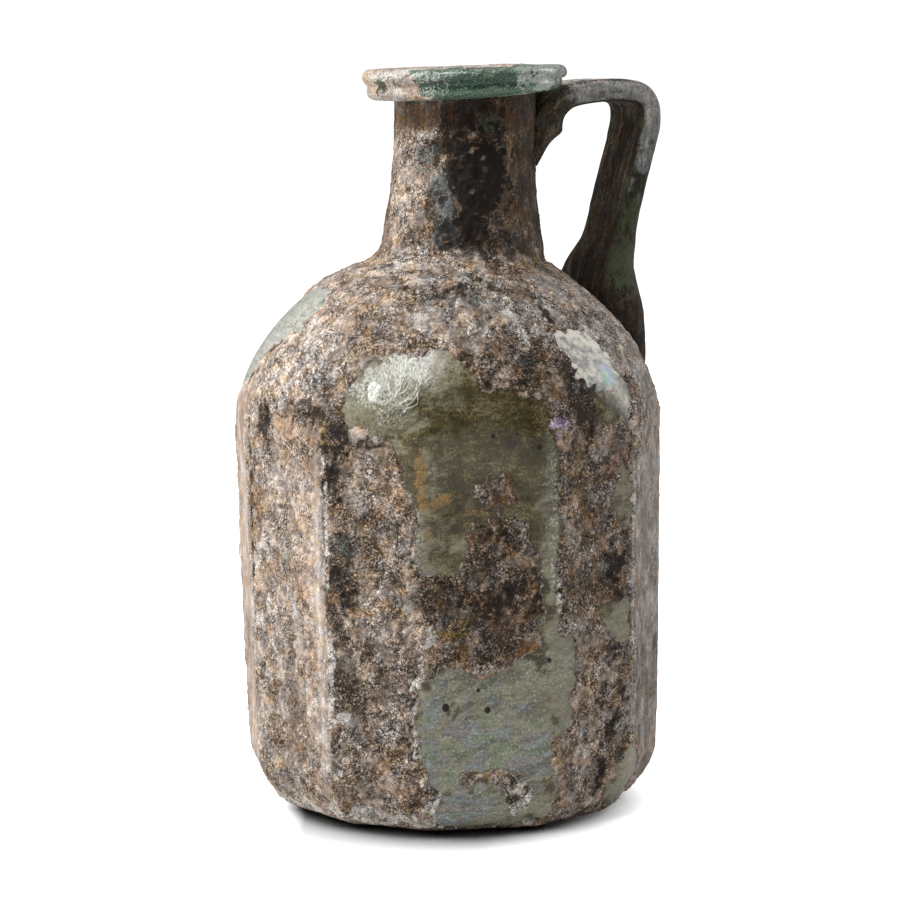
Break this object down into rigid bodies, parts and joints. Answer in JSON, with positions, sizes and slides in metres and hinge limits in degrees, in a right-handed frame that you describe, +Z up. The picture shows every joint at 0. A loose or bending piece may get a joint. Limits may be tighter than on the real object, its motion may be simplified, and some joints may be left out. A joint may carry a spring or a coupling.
{
  "type": "glass jug",
  "caption": "Ancient glass jug: faceted body with a round shoulder, plain neck, folded rim and a strap handle, hollow and open at the mouth.",
  "frame": {"origin": "middle of the flat underside that the jug stands on", "axes": "+Z up along the vessel to its mouth, +X towards the handle"},
  "size_m": [0.1127, 0.1103, 0.19],
  "materials": {
    "weathered_glass": "matt brown weathering crust over olive green glass"
  },
  "bodies": {
    "root": {"jug": "weathered_glass"}
  },
  "joints": []
}
